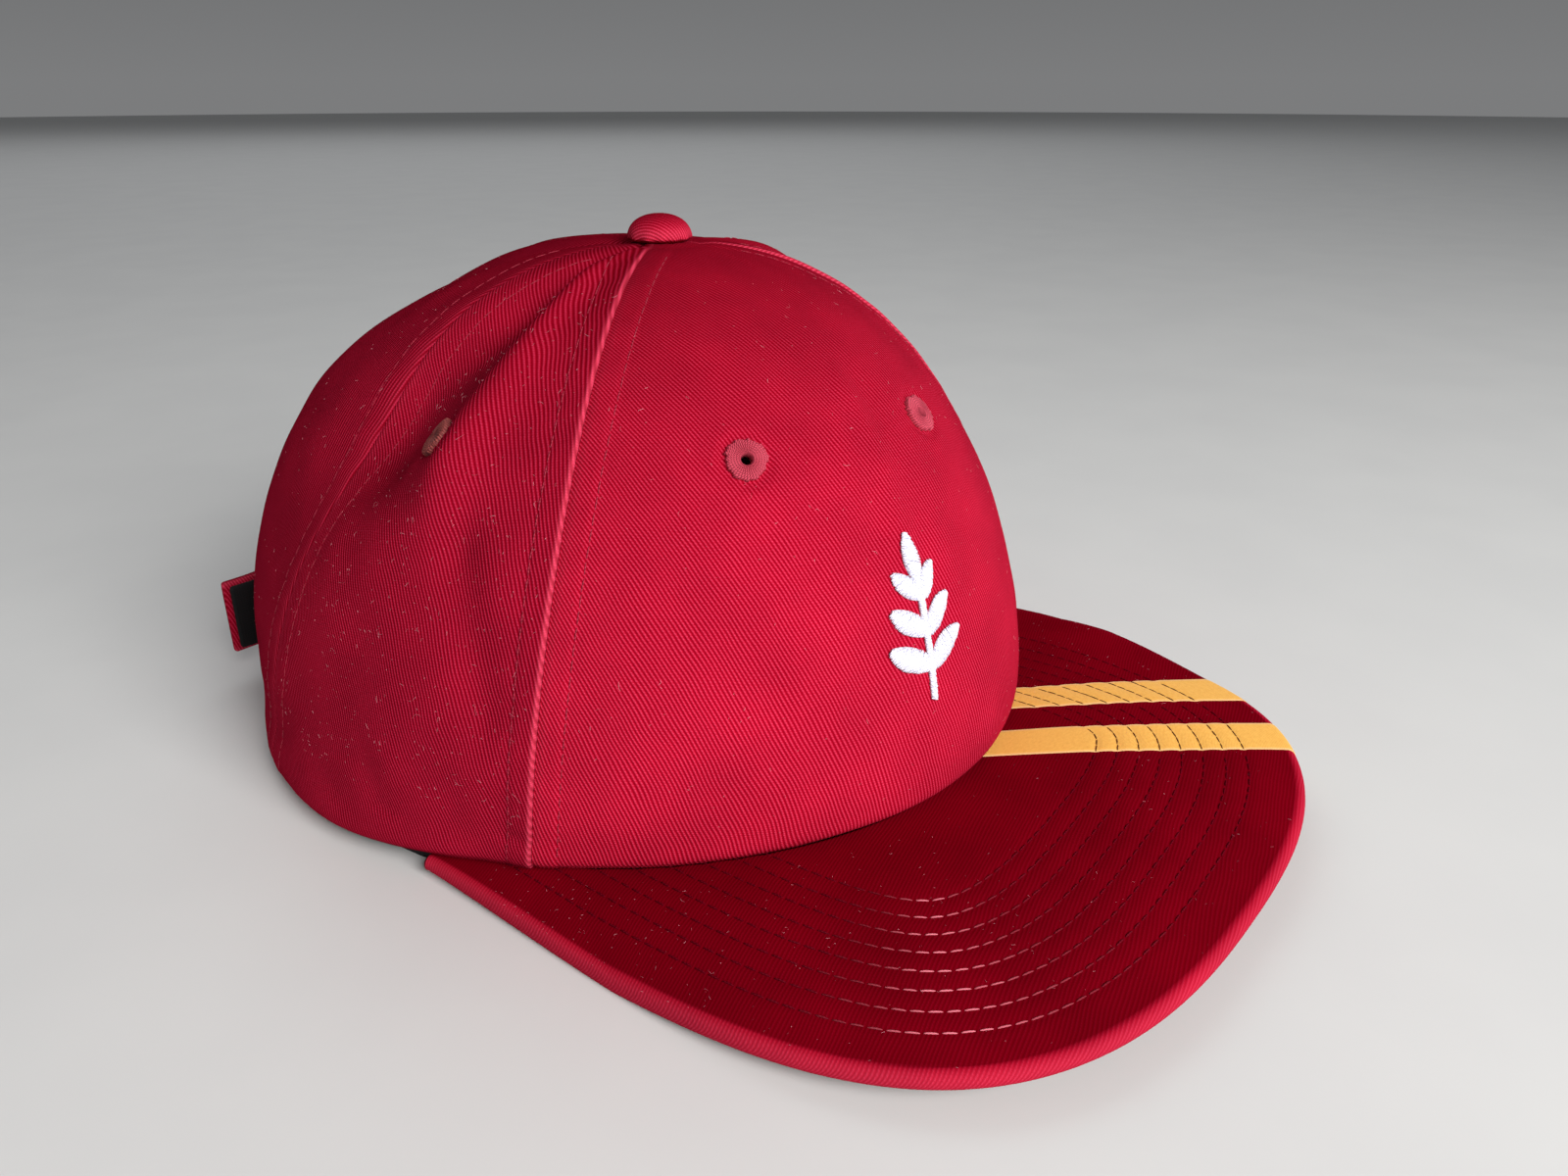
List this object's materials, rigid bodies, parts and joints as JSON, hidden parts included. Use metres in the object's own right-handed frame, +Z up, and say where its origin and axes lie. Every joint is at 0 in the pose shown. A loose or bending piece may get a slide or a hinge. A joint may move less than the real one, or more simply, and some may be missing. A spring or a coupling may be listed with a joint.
{
  "type": "peaked cap",
  "caption": "Five-panel peaked cap in dark red twill with two diagonal yellow stripes on the peak and a hook-and-loop back strap.",
  "frame": {"origin": "middle of the cap's bounding box, on the surface that it rests on", "axes": "-Y towards the peak, +Y towards the back strap, +X towards the wearer's left, +Z up"},
  "size_m": [0.172, 0.266, 0.1208],
  "materials": {
    "twill": "matte cotton twill",
    "peak_twill": "matte cotton twill",
    "thread": "satin embroidery thread",
    "stripe": "smooth matte cloth",
    "lining": "matte black cloth",
    "motif": "satin embroidery thread"
  },
  "bodies": {
    "root": {"front_panel": "twill", "side_panel_right": "twill", "side_panel_left": "twill", "back_panel_right": "twill", "back_panel_left": "twill", "eyelet_front_right": "thread", "eyelet_front_left": "thread", "eyelet_side_right": "thread", "eyelet_side_left": "thread", "eyelet_back_right": "thread", "eyelet_back_left": "thread", "top_button": "twill", "sweatband": "lining", "peak": "peak_twill", "peak_stripe_1": "stripe", "peak_stripe_2": "stripe", "back_strap": "twill", "strap_tab": "twill", "hook_tape": "lining", "emblem": "motif"}
  },
  "joints": []
}
